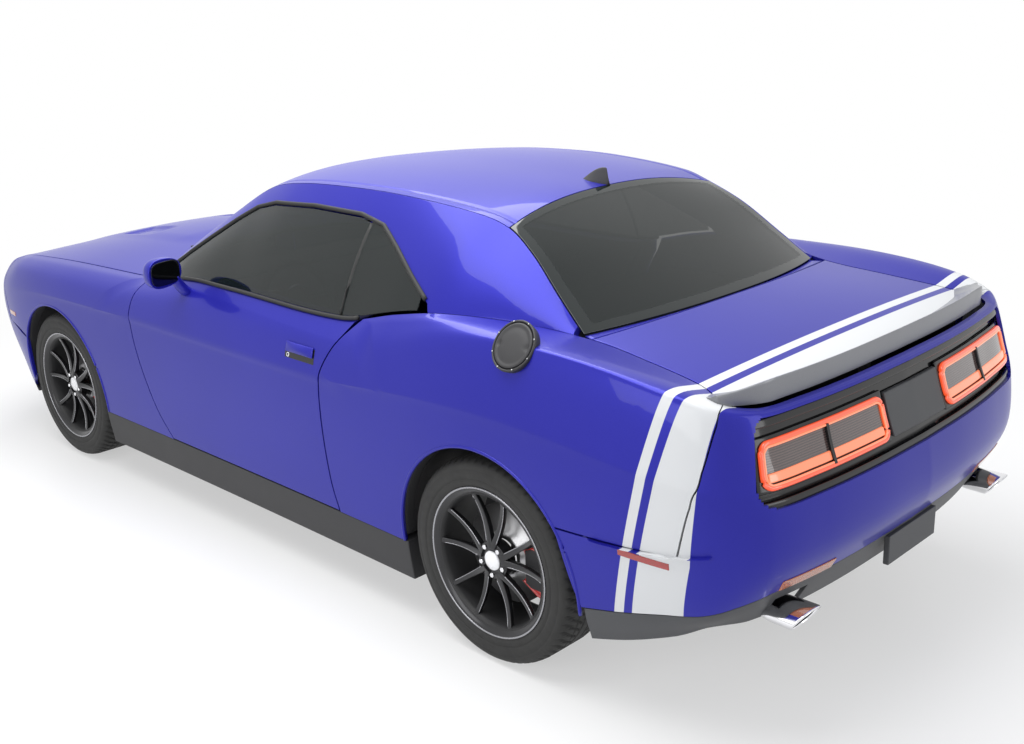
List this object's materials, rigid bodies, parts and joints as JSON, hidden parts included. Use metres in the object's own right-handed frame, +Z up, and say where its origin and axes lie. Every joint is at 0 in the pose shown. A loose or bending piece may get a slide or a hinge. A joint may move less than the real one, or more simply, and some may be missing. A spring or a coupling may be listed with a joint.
{
  "type": "muscle car",
  "caption": "Two-door fastback-tailed muscle car with opening doors, hood, trunk lid and fuel cap, steered front wheels and a rear spoiler.",
  "frame": {"origin": "on the ground under the middle of the car", "axes": "+X to the front, +Y to the left, +Z up"},
  "size_m": [4.996, 2.1968, 1.506],
  "materials": {
    "paint": "gloss metallic",
    "black_trim": "textured",
    "gloss_black": "gloss",
    "glass": "clear tinted",
    "lamp_red": "gloss lens",
    "lamp_clear": "gloss lens",
    "structure": "satin",
    "cast": "cast",
    "chrome": "polished",
    "seat": "satin",
    "tyre": "matt",
    "rim": "satin",
    "spoiler": "satin"
  },
  "bodies": {
    "shell": {"floor_pan": "structure", "engine_block": "cast", "fender_left": "paint", "fender_right": "paint", "quarter_left": "paint", "quarter_right": "paint", "roof": "paint", "side_frames": "paint", "windshield": "glass", "rear_window": "glass", "quarter_windows": "glass", "front_bumper": "paint", "grille": "gloss_black", "headlamps": "lamp_clear", "front_splitter": "black_trim", "rear_bumper": "paint", "rear_valance": "black_trim", "tail_panel": "gloss_black", "tail_lamps": "lamp_red", "sills": "black_trim", "wheel_liners": "black_trim", "cowl": "black_trim", "dashboard": "black_trim", "front_seats": "seat", "rear_seat": "seat", "exhaust": "chrome", "front_axle": "cast", "rear_axle": "cast", "propshaft": "cast", "filler_housing": "black_trim"},
    "door_left": {"door_left": "paint", "door_glass_left": "glass", "mirror_left": "paint"},
    "door_right": {"door_right": "paint", "door_glass_right": "glass", "mirror_right": "paint"},
    "hood": {"hood": "paint"},
    "trunk_lid": {"trunk_lid": "paint", "spoiler": "spoiler"},
    "filler_cap": {"filler_cap": "black_trim"},
    "steering_wheel": {"steering_wheel": "black_trim"},
    "knuckle_left": {"knuckle_left": "cast"},
    "knuckle_right": {"knuckle_right": "cast"},
    "wheel_front_left": {"tyre_front_left": "tyre", "rim_front_left": "rim"},
    "wheel_front_right": {"tyre_front_right": "tyre", "rim_front_right": "rim"},
    "wheel_rear_left": {"tyre_rear_left": "tyre", "rim_rear_left": "rim"},
    "wheel_rear_right": {"tyre_rear_right": "tyre", "rim_rear_right": "rim"}
  },
  "joints": [
    {"name": "door_left_open", "type": "hinge", "parent": "shell", "child": "door_left", "pos_m": [0.7245, 0.955, 0.7], "axis": [0, 0, -1], "range_deg": [0, 65]},
    {"name": "door_right_open", "type": "hinge", "parent": "shell", "child": "door_right", "pos_m": [0.7245, -0.955, 0.7], "axis": [0, 0, 1], "range_deg": [0, 65]},
    {"name": "hood_open", "type": "hinge", "parent": "shell", "child": "hood", "pos_m": [0.775, 0, 1], "axis": [0, -1, 0], "range_deg": [0, 55]},
    {"name": "trunk_lid_open", "type": "hinge", "parent": "shell", "child": "trunk_lid", "pos_m": [-1.686, 0, 1.146], "axis": [0, 1, 0], "range_deg": [0, 80]},
    {"name": "filler_cap_open", "type": "hinge", "parent": "shell", "child": "filler_cap", "pos_m": [-1.48732, 0.90911, 1.13716], "axis": [-0.0222, 0.5527, -0.8331], "range_deg": [0, 90]},
    {"name": "steer_left", "type": "hinge", "parent": "shell", "child": "knuckle_left", "pos_m": [1.528, 0.745, 0.364], "axis": [0, 0, 1], "range_deg": [-34, 34]},
    {"name": "steer_right", "type": "hinge", "parent": "shell", "child": "knuckle_right", "pos_m": [1.528, -0.745, 0.364], "axis": [0, 0, 1], "range_deg": [-34, 34]},
    {"name": "steering_wheel_turn", "type": "hinge", "parent": "shell", "child": "steering_wheel", "pos_m": [0.2875, 0.385, 0.88], "axis": [-0.9272, 0, 0.3746], "range_deg": [-480, 480]},
    {"name": "wheel_front_left_spin", "type": "hinge", "parent": "knuckle_left", "child": "wheel_front_left", "pos_m": [1.528, 0.805, 0.364], "axis": [0, 1, 0], "continuous": true},
    {"name": "wheel_front_right_spin", "type": "hinge", "parent": "knuckle_right", "child": "wheel_front_right", "pos_m": [1.528, -0.805, 0.364], "axis": [0, 1, 0], "continuous": true},
    {"name": "wheel_rear_left_spin", "type": "hinge", "parent": "shell", "child": "wheel_rear_left", "pos_m": [-1.423, 0.8105, 0.364], "axis": [0, 1, 0], "continuous": true},
    {"name": "wheel_rear_right_spin", "type": "hinge", "parent": "shell", "child": "wheel_rear_right", "pos_m": [-1.423, -0.8105, 0.364], "axis": [0, 1, 0], "continuous": true}
  ],
  "couplings": [
    {"joint": "steer_right", "follows": "steer_left", "ratio": 1},
    {"joint": "steering_wheel_turn", "follows": "steer_left", "ratio": 14}
  ]
}
